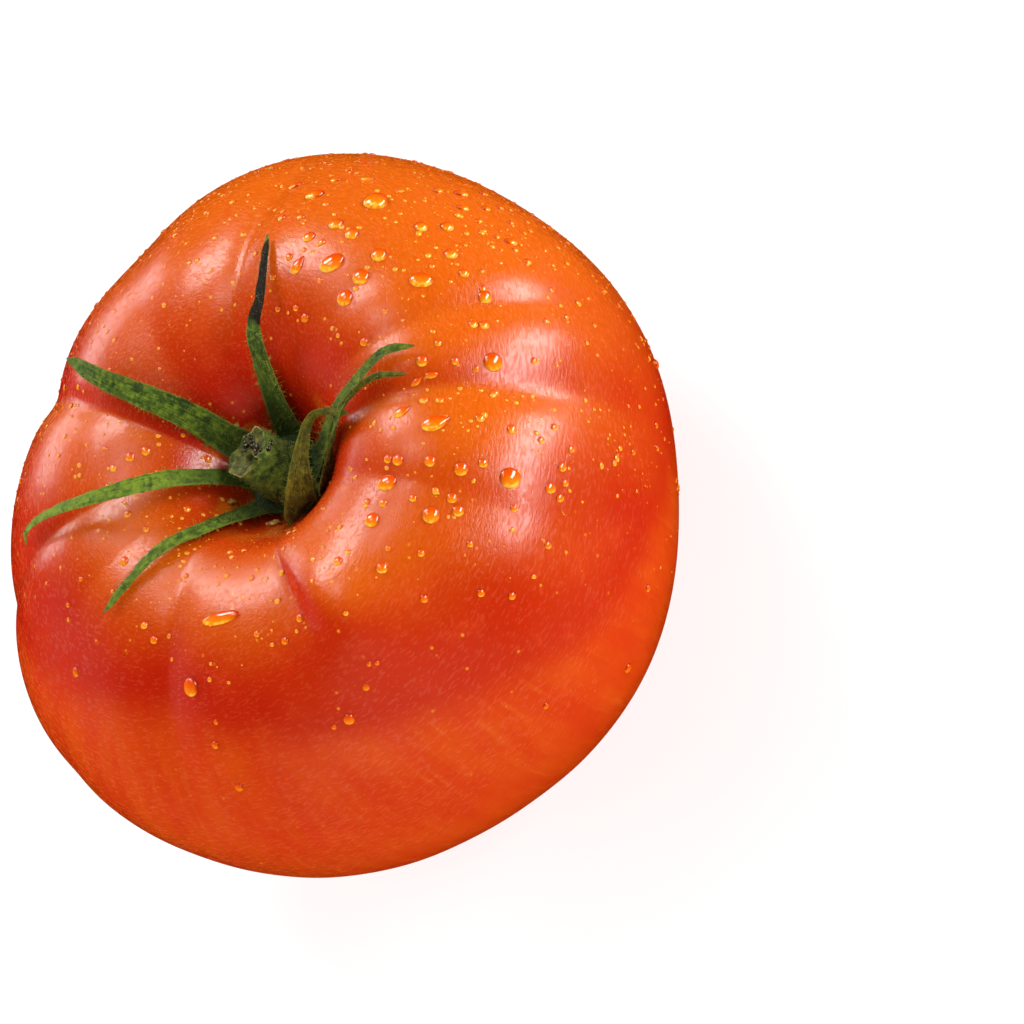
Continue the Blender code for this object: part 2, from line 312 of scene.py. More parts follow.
# Drops seen in the picture: pixel across, pixel down, radius in pixels
ROUND_DROPS = (
    (376, 202, 13.0), (361, 277, 9.2), (345, 298, 9.0), (379, 255, 8.2), (352, 234, 7.4),
    (451, 254, 7.3), (421, 227, 7.0), (447, 227, 7.0), (485, 297, 7.5), (464, 273, 5.5),
    (493, 362, 10.0), (473, 324, 5.0), (422, 361, 6.0), (510, 478, 11.0), (461, 469, 7.3),
    (483, 463, 5.0), (431, 515, 9.0), (458, 511, 6.0), (452, 498, 5.5), (430, 461, 6.0),
    (398, 460, 6.0), (512, 429, 5.5), (480, 418, 5.0), (495, 393, 4.5), (550, 488, 6.0),
    (565, 483, 4.0), (562, 467, 5.0), (541, 440, 4.0), (554, 427, 4.0), (534, 361, 4.0),
    (548, 545, 4.0), (656, 364, 5.0), (648, 588, 4.0), (628, 668, 5.0), (481, 593, 4.0),
    (512, 596, 4.0), (424, 599, 4.0), (514, 508, 4.0), (421, 553, 4.0), (382, 568, 6.0),
    (349, 719, 6.0), (366, 687, 4.0), (372, 520, 8.2), (338, 561, 5.0), (367, 502, 4.0),
    (285, 641, 4.0), (233, 557, 4.0), (252, 578, 3.5), (124, 561, 5.0), (187, 509, 4.0),
    (215, 745, 4.0), (239, 787, 5.0), (76, 672, 5.0), (130, 457, 5.0), (146, 451, 5.0),
    (208, 459, 4.0), (128, 514, 4.0), (146, 529, 3.5), (546, 706, 3.5), (455, 361, 4.0),
    (476, 369, 3.6), (424, 400, 5.0), (440, 400, 5.0), (388, 459, 4.5), (413, 498, 4.0),
    (383, 503, 4.6), (282, 218, 4.4), (301, 217, 4.0), (326, 204, 3.6), (322, 242, 3.8),
    (289, 257, 4.2), (304, 250, 3.0), (273, 277, 3.6), (320, 280, 3.0), (296, 308, 3.2),
    (305, 318, 4.6), (364, 342, 4.4), (385, 311, 3.2), (433, 331, 3.0), (432, 266, 3.2),
    (438, 343, 3.8), (278, 309, 3.0), (500, 208, 4.0), (483, 194, 4.0), (486, 209, 4.4),
    (479, 221, 3.6), (511, 223, 3.6), (497, 237, 3.4), (515, 250, 3.6), (482, 271, 3.0),
    (484, 325, 5.4), (483, 289, 4.0), (438, 191, 5.0), (401, 191, 3.4), (528, 262, 4.2),
    (566, 317, 3.4), (551, 290, 3.4), (546, 321, 3.6), (594, 325, 3.0), (603, 292, 3.0),
    (618, 305, 3.4), (655, 306, 3.2), (657, 448, 3.4), (656, 425, 3.6), (571, 449, 4.0),
    (633, 452, 3.6), (662, 372, 3.2), (560, 498, 4.6), (470, 544, 3.4), (388, 548, 3.0),
    (300, 618, 4.4), (257, 634, 3.4), (154, 640, 4.0), (169, 636, 2.6), (186, 576, 3.2),
    (180, 580, 2.4), (68, 605, 2.6), (81, 579, 2.6), (216, 722, 2.8), (334, 727, 2.8),
    (377, 663, 2.6), (369, 664, 2.6), (105, 449, 2.8), (232, 466, 3.0), (227, 431, 3.6),
)
# The same with a half length, a half width, the turn of the long side in degrees, and how far
# one end is drawn out
LONG_DROPS = (
    (332, 263, 14.0, 9.6, 24, 0.0),
    (421, 280, 12.4, 9.2, -8, 0.0),
    (434, 423, 13.5, 9.0, 18, 0.6),
    (401, 412, 9.0, 6.0, 28, 0.5),
    (297, 266, 9.4, 6.0, 58, 0.7),
    (336, 224, 8.0, 6.4, 42, 0.0),
    (309, 237, 7.0, 5.8, 30, 0.0),
    (461, 194, 7.4, 5.4, -12, 0.0),
    (463, 208, 6.6, 4.6, -8, 0.0),
    (511, 242, 7.0, 5.0, -8, 0.0),
    (431, 375, 7.0, 3.6, 8, 0.0),
    (416, 382, 6.6, 3.2, 38, 0.3),
    (387, 483, 11.0, 8.4, 8, 0.0),
    (191, 687, 10.0, 9.0, 80, 0.0),
    (221, 618, 22.0, 7.0, 2, 0.0),
    (368, 179, 7.0, 3.8, 8, 0.0),
    (315, 195, 10.0, 7.0, 14, 0.0),
    (295, 186, 7.0, 4.6, 20, 0.0),
    (336, 180, 5.6, 3.4, 8, 0.0),
    (349, 170, 4.4, 3.0, 8, 0.0),
    (365, 163, 5.6, 3.0, 2, 0.0),
)
DROP_HEIGHT = 0.56
DROP_SINK = 0.16
DROP_DETAIL = 3
# Spray too fine to count: its common size, the mean and the spread of the logarithm of its
# sizes, its largest drop, and the size from which a drop needs a finer dome
FINE_DROPS = 2800
FINE_DROP_SIZE = 0.11 * MM
FINE_DROP_SPREAD = (0.35, 0.5)
LARGEST_FINE_DROP = 0.5 * MM
SMOOTH_FINE_DROP = 0.2 * MM
SPRAYED_SIDE = Vector((0.866, 0.394, 0.308))
SPRAY_MIDDLE = Vector((0.0, 0.0, 0.030))
LOWEST_SPRAY = -0.45
DRY_ROUND_HUB = 8 * MM
# The side of the fruit that faces the brightest light, towards which the skin is painted a lighter
# orange as painted light
LIT_SIDE = (0.77, 0.07, 0.63)
DROP_TO_LIGHT = Vector(LIT_SIDE)
# The slanting line on the shoulders: below it the flanks are painted paler, as painted light from
# below, and above it a band keeps a deeper red as painted shade. The way up across it, and how far
# up that way it lies
SHOULDER_SIDE = (0.502, 0.087, 0.861)
SHOULDER_EDGE = 31.6 * MM


class Wire:
    """A value that a node puts out. Sums on it add Math nodes."""

    def __init__(self, net, socket):
        self.net = net
        self.socket = socket

    def math(self, operation, *terms):
        return self.net.add("ShaderNodeMath", {"operation": operation}, dict(enumerate(terms)))

    def __add__(self, other):
        return self.math("ADD", self, other)

    def __sub__(self, other):
        return self.math("SUBTRACT", self, other)

    def __rsub__(self, other):
        return self.math("SUBTRACT", other, self)

    def __mul__(self, other):
        return self.math("MULTIPLY", self, other)

    def __pow__(self, other):
        return self.math("POWER", self, other)

    def __abs__(self):
        return self.math("ABSOLUTE", self)

    __radd__ = __add__
    __rmul__ = __mul__


class Net:
    """The nodes of a material or of the studio's world, with the shader that they feed."""

    def __init__(self, owner, shader="Principled BSDF", **constants):
        owner.use_nodes = True
        self.owner = owner
        self.tree = owner.node_tree
        self.shader = self.tree.nodes[shader]
        self.feed(constants)

    def add(self, kind, settings=None, values=None, output=0):
        node = self.tree.nodes.new(kind)
        for name, value in (settings or {}).items():
            if name == "stops":
                self.set_stops(node.color_ramp, value)
            else:
                setattr(node, name, value)
        for name, value in (values or {}).items():
            self.join(value, node.inputs[name])
        return Wire(self, node.outputs[output])

    def join(self, value, socket):
        if isinstance(value, Wire):
            self.tree.links.new(value.socket, socket)
        else:
            socket.default_value = value

    def feed(self, values):
        """Values or wires for the shader's sockets, with _ for the spaces in their names."""
        for socket, value in values.items():
            self.join(value, self.shader.inputs[socket.replace("_", " ")])

    def set_stops(self, ramp, stops):
        while len(ramp.elements) < len(stops):
            ramp.elements.new(1.0)
        for element, (position, colour) in zip(ramp.elements, stops):
            element.position = position
            element.color = (*colour, 1.0)

    def place(self):
        return self.add("ShaderNodeTexCoord", output="Object")

    def look(self):
        """The way the surface faces, in the object's own axes."""
        return self.add("ShaderNodeTexCoord", output="Normal")

    def attribute(self, name):
        return self.add("ShaderNodeAttribute", {"attribute_name": name}, output="Vector")

    def amount(self, name):
        return self.add("ShaderNodeAttribute", {"attribute_name": name}, output="Fac")

    def parts(self, vector):
        split = self.add("ShaderNodeSeparateXYZ", values={0: vector})
        return [Wire(self, socket) for socket in split.socket.node.outputs]

    def scaled(self, vector, factors):
        return self.add("ShaderNodeVectorMath", {"operation": "MULTIPLY"}, {0: vector, 1: factors})

    def moved(self, vector, shift):
        return self.add("ShaderNodeVectorMath", {"operation": "ADD"}, {0: vector, 1: shift})

    def dot(self, vector, way):
        settings = {"operation": "DOT_PRODUCT"}
        return self.add("ShaderNodeVectorMath", settings, {0: vector, 1: way}, output="Value")

    def length(self, vector):
        settings = {"operation": "LENGTH"}
        return self.add("ShaderNodeVectorMath", settings, {0: vector}, output="Value")

    def noise(self, vector, scale, detail=2.0, roughness=0.5, distortion=0.0):
        values = {
            "Vector": vector,
            "Scale": scale,
            "Detail": detail,
            "Roughness": roughness,
            "Distortion": distortion,
        }
        return self.add("ShaderNodeTexNoise", values=values)

    def cells(self, vector, scale, output="Distance"):
        values = {"Vector": vector, "Scale": scale}
        return self.add("ShaderNodeTexVoronoi", values=values, output=output)

    def step(self, value, low, high):
        """0 below low and 1 above high, with a soft change between them."""
        settings = {"interpolation_type": "SMOOTHSTEP"}
        values = {"Value": value, "From Min": low, "From Max": high}
        if low > high:
            values.update({"From Min": high, "From Max": low, "To Min": 1.0, "To Max": 0.0})
        return self.add("ShaderNodeMapRange", settings, values)

    def mix(self, share, first, second):
        """The first colour where the share is 0 and the second where it is 1."""
        first = first if isinstance(first, Wire) else (*first, 1.0)
        second = second if isinstance(second, Wire) else (*second, 1.0)
        values = {0: share, 6: first, 7: second}
        return self.add("ShaderNodeMix", {"data_type": "RGBA"}, values, output=2)

    def ramp(self, value, stops):
        return self.add("ShaderNodeValToRGB", {"stops": stops}, {0: value})

    def bump(self, height, distance, strength, over=None):
        values = {"Height": height, "Distance": distance, "Strength": strength}
        if over is not None:
            values["Normal"] = over
        return self.add("ShaderNodeBump", values=values)

    def finish(self, **feeds):
        self.feed(feeds)
        return self.owner


def material_net(name, **constants):
    return Net(bpy.data.materials.new(name), **constants)


def skin_material():
    net = material_net(
        "tomato_skin",
        Subsurface_Weight=0.15,
        Subsurface_Radius=(1.0, 0.25, 0.08),
        Subsurface_Scale=2.0 * MM,
        Specular_IOR_Level=0.45,
        Coat_Roughness=0.12,
        Coat_IOR=1.5,
    )
    place = net.place()
    grain = net.attribute("grain")
    arc = net.parts(grain)[2]
    hub = net.moved(place, (-HUB_X, -HUB_Y, 0.0))
    away = net.length(net.scaled(hub, (1.0, 1.0, 0.0)))
    height = net.parts(place)[2]

    broad = net.noise(place, 38.0, 3.0, 0.5)
    middling = net.noise(place, 170.0, 4.0, 0.6)
    streaks = net.noise(net.scaled(grain, (9.0, 9.0, 0.06)), 1.0, 4.0, 0.6)
    fine_streaks = net.noise(net.scaled(grain, (60.0, 60.0, 0.12)), 1.0, 2.0, 0.5)
    wrinkles = net.noise(net.scaled(grain, (38.0, 38.0, 2.9)), 1.0, 3.0, 0.6, 0.3)
    pores = net.noise(place, 4200.0, 2.0, 0.6)

    colour = net.mix(net.step(broad, 0.35, 0.65), (0.49, 0.012, 0.001), (0.54, 0.024, 0.001))
    # Painted light: the skin is a lighter orange where it faces the brightest light
    facing_light = net.dot(net.look(), LIT_SIDE)
    lit_side_paint = net.step(facing_light + (broad - 0.5) * 0.4, 0.28, 0.93)
    colour = net.mix(lit_side_paint * 0.95, colour, (0.73, 0.126, 0.002))
    # Painted light and shade: the flanks below the slanting line are paler and the band above it
    # stays deeper red; the streaks on the flanks are their own colour
    shoulder = net.dot(place, SHOULDER_SIDE) + (broad - 0.5) * (13.0 * MM)
    flank = net.step(shoulder, SHOULDER_EDGE + 3.0 * MM, SHOULDER_EDGE - 3.6 * MM)
    streaked = net.step(streaks, 0.30, 0.75)
    flank_colour = net.mix(streaked, (0.63, 0.040, 0.001), (0.70, 0.078, 0.002))
    colour = net.mix(flank * (0.9 - 0.4 * lit_side_paint), colour, flank_colour)
    yellowed = net.step(fine_streaks, 0.56, 0.80) * flank * 0.20
    colour = net.mix(yellowed, colour, (0.84, 0.20, 0.02))
    # Painted shade: a deeper red down in the hollow round the calyx
    hollow_shade = net.step(away, 17.0 * MM, 9.0 * MM)
    colour = net.mix(hollow_shade * 0.75, colour, (0.56, 0.014, 0.001))
    collar = net.step(away, 11.5 * MM, 7.5 * MM) * net.step(middling, 0.48, 0.62)
    colour = net.mix(collar * 0.55, colour, (0.75, 0.24, 0.010))
    colour = net.mix(net.step(middling, 0.52, 0.72) * 0.20, colour, (0.78, 0.08, 0.003))
    creased = net.step(arc, 84.0, 62.0)
    colour = net.mix(net.step(wrinkles, 0.52, 0.68) * creased * 0.13, colour, (0.80, 0.12, 0.006))
    colour = net.mix(net.step(wrinkles, 0.48, 0.34) * creased * 0.18, colour, (0.50, 0.012, 0.001))

    specks = net.cells(place, 620.0)
    chosen = net.cells(place, 620.0, "Color")
    picked = net.step(net.parts(chosen)[0], 0.62, 0.66) * net.step(specks, 0.17, 0.08)
    zone = net.step(broad, 0.44, 0.56) * net.step(arc, 78.0, 50.0)
    zone = zone + net.step(away, 24.0 * MM, 13.0 * MM)
    colour = net.mix(picked * zone * 0.8, colour, (0.92, 0.34, 0.02))

    scar = net.step(height, 4.0 * MM, 0.6 * MM)
    from_axis = net.length(net.scaled(place, (1.0, 1.0, 0.0)))
    scar = scar * net.step(from_axis, SCAR_RADIUS, SCAR_RADIUS * 0.6)
    colour = net.mix(scar, colour, (0.13, 0.06, 0.02))

    bump = net.bump(middling, 0.25 * MM, 0.12)
    bump = net.bump(wrinkles, 0.07 * MM, 0.8, bump)
    bump = net.bump(pores, 0.03 * MM, 0.4, bump)
    furrowed = net.step(wrinkles, 0.46, 0.64) * creased
    roughness = 0.16 + 0.05 * net.step(middling, 0.35, 0.7) + furrowed * 0.14 + scar * 0.4
    coat = creased * (0.38 - 0.36 * net.step(wrinkles, 0.46, 0.54))
    return net.finish(Base_Color=colour, Roughness=roughness, Coat_Weight=coat, Normal=bump)


def sepal_material():
    net = material_net(
        "calyx_green", Specular_IOR_Level=0.22, Sheen_Weight=0.03, Sheen_Roughness=0.4
    )
    place = net.place()
    blade = net.attribute("blade")
    along, across, _ = net.parts(blade)
    dried = net.amount("dried")
    olive = net.amount("olive")
    light = net.amount("light")
    fuzz = net.noise(place, 5200.0, 3.0, 0.6)
    mottle = net.noise(place, 1300.0, 4.0, 0.62)
    veins = net.noise(net.scaled(blade, (9.0, 5.5, 0.0)), 1.0, 4.0, 0.6)
    green = net.ramp(
        mottle * 0.6 + veins * 0.4 + light * 0.22 - 0.06,
        ((0.36, (0.008, 0.024, 0.003)), (0.50, (0.045, 0.095, 0.006)), (0.66, (0.20, 0.30, 0.016))),
    )
    # Painted shade: the sepals darken towards their roots, down in the well
    green = net.mix(net.step(along, 0.45, 0.12) * 0.8, green, (0.008, 0.028, 0.004))
    speckle = net.step(fuzz, 0.56, 0.70)
    green = net.mix(speckle * 0.5, green, (0.14, 0.23, 0.022))
    brown = net.ramp(
        mottle * 0.55 + veins * 0.45,
        ((0.38, (0.028, 0.022, 0.004)), (0.52, (0.120, 0.095, 0.007)), (0.66, (0.26, 0.21, 0.016))),
    )
    colour = net.mix(olive, green, brown)
    rim = net.step(abs(across), 0.80, 1.0)
    colour = net.mix(rim * 0.40, colour, (0.24, 0.26, 0.030))
    blotch = net.step(net.noise(place, 420.0, 3.0, 0.55), 0.60, 0.68)
    colour = net.mix(blotch * 0.7, colour, (0.010, 0.022, 0.004))
    burnt = net.step(dried + (mottle - 0.5) * 0.5, 0.42, 0.58)
    black = net.ramp(fuzz, ((0.45, (0.004, 0.002, 0.001)), (0.75, (0.045, 0.028, 0.007))))
    colour = net.mix(burnt, colour, black)
    tip = net.step(along, 0.975, 1.0)
    colour = net.mix(tip * 0.7, colour, (0.22, 0.14, 0.05))
    bump = net.bump(veins, 0.30 * MM, 0.45)
    bump = net.bump(mottle, 0.22 * MM, 0.50, bump)
    bump = net.bump(fuzz, 0.10 * MM, 0.55, bump)
    roughness = 0.50 + 0.25 * net.step(mottle, 0.35, 0.65) + burnt * 0.15
    return net.finish(Base_Color=colour, Roughness=roughness, Normal=bump)


def stem_material():
    net = material_net(
        "stem_green", Specular_IOR_Level=0.25, Sheen_Weight=0.03, Sheen_Roughness=0.4
    )
    place = net.place()
    broken = net.amount("broken")
    lip = net.amount("lip")
    fuzz = net.noise(place, 4600.0, 3.0, 0.6)
    mottle = net.noise(place, 1100.0, 4.0, 0.6)
    green = net.ramp(
        mottle,
        ((0.36, (0.016, 0.042, 0.008)), (0.52, (0.080, 0.125, 0.014)), (0.68, (0.21, 0.27, 0.035))),
    )
    green = net.mix(net.step(fuzz, 0.54, 0.68) * 0.6, green, (0.24, 0.31, 0.05))
    flesh = net.ramp(
        mottle * 0.7 + fuzz * 0.3,
        ((0.36, (0.012, 0.010, 0.004)), (0.50, (0.095, 0.105, 0.016)), (0.66, (0.26, 0.26, 0.055))),
    )
    colour = net.mix(broken, green, flesh)
    tan = net.mix(net.step(fuzz, 0.42, 0.62), (0.30, 0.17, 0.05), (0.62, 0.48, 0.22))
    colour = net.mix(net.step(lip + (mottle - 0.5) * 0.8, 0.45, 0.62), colour, tan)
    bump = net.bump(mottle, 0.40 * MM, 0.60)
    bump = net.bump(fuzz, 0.14 * MM, 0.60, bump)
    roughness = 0.70 - 0.25 * broken
    return net.finish(Base_Color=colour, Roughness=roughness, Normal=bump)


def bead_material():
    net = material_net("dried_sap", Coat_Roughness=0.05)
    place = net.place()
    mottle = net.noise(place, 2600.0, 3.0, 0.6)
    colour = net.ramp(
        mottle,
        ((0.40, (0.006, 0.004, 0.003)), (0.56, (0.040, 0.024, 0.010)), (0.72, (0.24, 0.18, 0.07))),
    )
    roughness = 0.15 + 0.2 * mottle
    coat = 0.7 + 0.3 * mottle
    bump = net.bump(mottle, 0.15 * MM, 0.4)
    return net.finish(Base_Color=colour, Roughness=roughness, Coat_Weight=coat, Normal=bump)


def hair_material():
    net = material_net("calyx_hair", Specular_IOR_Level=0.4)
    place = net.place()
    patches = net.noise(place, 300.0, 2.0, 0.5)
    colour = net.mix(net.step(patches, 0.40, 0.62), (0.12, 0.19, 0.016), (0.42, 0.42, 0.075))
    return net.finish(Base_Color=colour, Roughness=0.45 + 0.2 * patches)


def cork_material():
    net = material_net("corky_scar", Specular_IOR_Level=0.5)
    place = net.place()
    grain = net.noise(place, 1900.0, 4.0, 0.65)
    colour = net.ramp(
        grain,
        ((0.36, (0.22, 0.070, 0.005)), (0.52, (0.58, 0.28, 0.025)), (0.68, (0.85, 0.62, 0.16))),
    )
    bump = net.bump(grain, 0.25 * MM, 0.6)
    return net.finish(Base_Color=colour, Roughness=0.35 + 0.3 * grain, Normal=bump)


def drop_material(name, shaded_side, bright_side):
    """Water on red skin: painted shade, dark towards the light, and painted light, golden and
    glowing, where the light gathers behind it.
    """
    net = material_net(
        name,
        Specular_IOR_Level=0.5,
        Coat_Roughness=0.02,
        Coat_IOR=1.6,
        Emission_Strength=0.35,
    )
    place = net.place()
    lens = net.attribute("lens")
    sideways, lit, _ = net.parts(lens)
    from_middle = (sideways * sideways + lit * lit) ** 0.5
    sparkle = net.noise(place, 2400.0, 2.0, 0.6)
    unlit = 0.0 - lit
    gathered = net.step(unlit + (sparkle - 0.5) * 0.7, -0.7, 0.8)
    colour = net.mix(gathered, shaded_side, bright_side)
    # Painted light: a golden crescent on the side away from the light
    crescent = net.step(unlit, 0.25, 0.75) * net.step(from_middle, 0.50, 0.80)
    colour = net.mix(crescent * net.step(sparkle, 0.35, 0.60), colour, (1.0, 0.62, 0.06))
    # Painted shade: a dark rim on the side towards the light
    rim = net.step(from_middle, 0.80, 0.95)
    shaded = rim * net.step(lit, -0.5, 0.3)
    colour = net.mix(shaded * 0.85, colour, (0.36, 0.012, 0.001))
    # Painted light: the drop glows where the light gathers
    painted_glow = net.mix(gathered * 0.5 + crescent * 0.5, (0.06, 0.004, 0.0), (0.45, 0.15, 0.003))
    return net.finish(
        Base_Color=colour,
        Roughness=0.05 + 0.05 * sparkle,
        Coat_Weight=0.8 + 0.2 * sparkle,
        Emission_Color=painted_glow,
    )


def floor_material():
    net = material_net("pale_floor", Specular_IOR_Level=0.1, Emission_Strength=2.0)
    place = net.place()
    cloud = net.noise(place, 6.0, 2.0, 0.5)
    colour = net.mix(cloud, (0.35, 0.35, 0.35), (0.36, 0.36, 0.36))
    return net.finish(Base_Color=colour, Roughness=0.8 + 0.1 * cloud, Emission_Color=colour)


def link_mesh(name, bm, material):
    """The finished mesh becomes an object at the origin."""
    mesh = bpy.data.meshes.new(name)
    bm.to_mesh(mesh)
    bm.free()
    mesh.materials.append(material)
    made = bpy.data.objects.new(name, mesh)
    bpy.context.scene.collection.objects.link(made)
    return made


def add_piece(name, bm, material, replaced=None):
    """The finished mesh becomes a smooth piece of the fruit on its one body."""
    piece = link_mesh(name, bm, material)
    piece.data.shade_smooth()
    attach(piece, "root")
    if replaced:
        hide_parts(replaced)
    return piece


def turned_away(azimuth, middle):
    """Degrees from the middle azimuth, from -180 to 180."""
    return (np.degrees(azimuth) - middle + 180) % 360 - 180


def furrow_depth(azimuth, polar):
    """How far the furrows press the skin in, less the fuller lobe, in metres."""
    depth = 0.0 * azimuth
    for middle, millimetres, before, after, polar_middle, reach in FURROWS:
        away = turned_away(azimuth, middle)
        width = np.where(away < 0, before, after)
        steps = np.hypot(away / width, FURROW_SHARPNESS) - FURROW_SHARPNESS
        fading = ((np.degrees(polar) - polar_middle) / reach) ** 2
        depth = depth + millimetres * MM * np.exp(-steps - fading)
    middle, millimetres, width, polar_middle, reach = LOBE
    fading = ((np.degrees(polar) - polar_middle) / reach) ** 2
    fading = fading + (turned_away(azimuth, middle) / width) ** 2
    lobe = millimetres * MM * np.exp(-fading)
    return depth * np.sqrt(np.maximum(np.sin(polar), 0.0)) - lobe


def skin_radius(azimuth, polar):
    """Distance of the skin from the fruit's upright axis."""
    girth = 1.0
    for waves, amount, crest in OUTLINE_WAVES:
        girth = girth * (1 + amount * np.cos(waves * (azimuth - math.radians(crest))))
    sine = np.maximum(np.sin(polar), 0.0)
    return EQUATOR_RADIUS * girth * sine**SIDE_POWER - furrow_depth(azimuth, polar) * sine


def hollow_depth(x, y):
    """How far the bowl and its well lower the skin."""
    away = np.hypot(x - HUB_X, y - HUB_Y)
    bowl = BOWL_DEPTH * np.exp(-((away / BOWL_RADIUS) ** 2))
    return bowl + WELL_DEPTH * np.exp(-((away / WELL_RADIUS) ** 4))


def skin_points(azimuth, polar):
    """Points of the skin, with the flat spot at height 0."""
    radius = skin_radius(azimuth, polar)
    x = radius * np.cos(azimuth)
    y = radius * np.sin(azimuth)
    cosine = np.cos(polar)
    rise = np.where(cosine > 0, SHOULDER_RISE, BASE_DROP)
    z = np.sign(cosine) * rise * np.abs(cosine) ** CAP_POWER
    z = z - furrow_depth(azimuth, polar) * cosine
    z = z - np.where(cosine > 0, hollow_depth(x, y), 0.0)
    z = np.maximum(z, FLAT_SPOT_HEIGHT) - FLAT_SPOT_HEIGHT
    return np.stack([x, y, z], axis=-1)


def meridian_length(polar):
    """Distance along the skin from the stem end, for an average meridian, in millimetres."""
    steps = np.linspace(0.0, np.pi, MERIDIAN_STEPS)
    radius = EQUATOR_RADIUS * np.sin(steps) ** SIDE_POWER
    cosine = np.cos(steps)
    height = np.sign(cosine) * SHOULDER_RISE * np.abs(cosine) ** CAP_POWER
    height = height - np.where(cosine > 0, hollow_depth(radius + HUB_X, HUB_Y), 0.0)
    pieces = np.hypot(np.diff(radius), np.diff(height))
    return np.interp(polar, steps, np.concatenate([[0.0], np.cumsum(pieces)])) / MM


def make_ball():
    """A grid rolled up into a ball, its seam and its poles merged."""
    bm = bmesh.new()
    bmesh.ops.create_grid(bm, x_segments=SKIN_MERIDIANS, y_segments=SKIN_RINGS, size=0.5)
    edge = []
    for vertex in bm.verts:
        if max(abs(vertex.co.x), abs(vertex.co.y)) > GRID_EDGE:
            edge.append(vertex)
        azimuth = 2 * math.pi * vertex.co.x
        polar = math.pi * (0.5 - vertex.co.y)
        ring = math.sin(polar)
        vertex.co = (ring * math.cos(azimuth), ring * math.sin(azimuth), math.cos(polar))
    bmesh.ops.remove_doubles(bm, verts=edge, dist=1e-6)
    bmesh.ops.recalc_face_normals(bm, faces=bm.faces)
    return bm


def make_skin():
    skin = add_piece("skin", make_ball(), skin_material(), "fruit")
    mesh = skin.data
    ball = np.empty(len(mesh.vertices) * 3)
    mesh.vertices.foreach_get("co", ball)
    x, y, z = ball.reshape(-1, 3).T
    azimuth = np.arctan2(y, x)
    even_polar = np.arccos(np.clip(z, -1.0, 1.0))
    polar = np.pi * (even_polar / np.pi) ** STEM_END_CROWDING
    points = skin_points(azimuth, polar)
    lumps = [noise.noise(Vector(p) * LUMP_PITCH) for p in points]
    clear_of_hub = np.hypot(points[:, 0] - HUB_X, points[:, 1] - HUB_Y) / RECEPTACLE_RADIUS
    fading = np.clip(clear_of_hub - 1.0, 0.0, 1.0) * np.clip(points[:, 2] / (4 * MM), 0.0, 1.0)
    shift = LUMP_HEIGHT * np.array(lumps) * fading
    points[:, 2] += shift * np.cos(polar)
    points[:, 0] += shift * np.sin(polar) * np.cos(azimuth)
    points[:, 1] += shift * np.sin(polar) * np.sin(azimuth)
    from_axis = np.hypot(points[:, 0], points[:, 1])
    pit = SCAR_DEPTH * np.exp(-((from_axis / SCAR_RADIUS) ** 4))
    points[:, 2] += np.where(polar > np.pi / 2, pit, 0.0)
    mesh.vertices.foreach_set("co", points.ravel())
    hub_azimuth = np.arctan2(points[:, 1] - HUB_Y, points[:, 0] - HUB_X)
    arc = meridian_length(polar)
    grain = np.stack([np.cos(hub_azimuth), np.sin(hub_azimuth), arc], axis=-1)
    lay = mesh.attributes.new("grain", "FLOAT_VECTOR", "POINT")
    lay.data.foreach_set("vector", grain.astype(np.float32).ravel())
    mesh.update()
    return skin


def make_tree(piece):
    """The piece's faces, ready to be hit by rays."""
    bm = bmesh.new()
    bm.from_mesh(piece.data)
    tree = BVHTree.FromBMesh(bm)
    bm.free()
    return tree


def skin_height(tree, x, y):
    spot, _, _, _ = tree.ray_cast(Vector((x, y, ABOVE_EVERYTHING)), -UP)
    return spot.z


def make_receptacle(tree, material):
    """The bowl that the sepals grow from, on the bottom of the well."""
    bm = bmesh.new()
    layers = blade_layers(bm)
    bmesh.ops.create_uvsphere(
        bm, u_segments=RECEPTACLE_MERIDIANS, v_segments=RECEPTACLE_RINGS, radius=1.0
    )
    seat = skin_height(tree, HUB_X, HUB_Y) + STEM_SEAT_HEIGHT
    for vertex in bm.verts:
        x = HUB_X + RECEPTACLE_RADIUS * vertex.co.x
        y = HUB_Y + RECEPTACLE_RADIUS * vertex.co.y
        share = (vertex.co.z + 1) / 2
        z = skin_height(tree, x, y) + RECEPTACLE_CLEARANCE + RECEPTACLE_THICKNESS * share
        place = Vector((x, y, min(z, seat)))
        place.z += RECEPTACLE_LUMPS * noise.noise(place * 900) * share
        mark_blade(vertex, layers, 0.05, 0.3, (0.0, 0.0, 0.2))
        vertex.co = place
    return add_piece("receptacle", bm, material, "calyx")


def blade_layers(bm):
    """What the green material reads: the place on the blade, and three tones."""
    names = ("dried", "olive", "light")
    layers = [bm.verts.layers.float_vector.new("blade")]
    return layers + [bm.verts.layers.float.new(name) for name in names]


def mark_blade(vertex, layers, along, across, tones):
    vertex[layers[0]] = (along, across, 0.0)
    for layer, tone in zip(layers[1:], tones):
        vertex[layer] = tone


def station_place(tree, distance, azimuth, lift):
    """A point given in millimetres and degrees about the hub, and in millimetres above the skin."""
    angle = math.radians(azimuth)
    x = HUB_X + distance * MM * math.cos(angle)
    y = HUB_Y + distance * MM * math.sin(angle)
    return (x, y, skin_height(tree, x, y) + lift * MM)


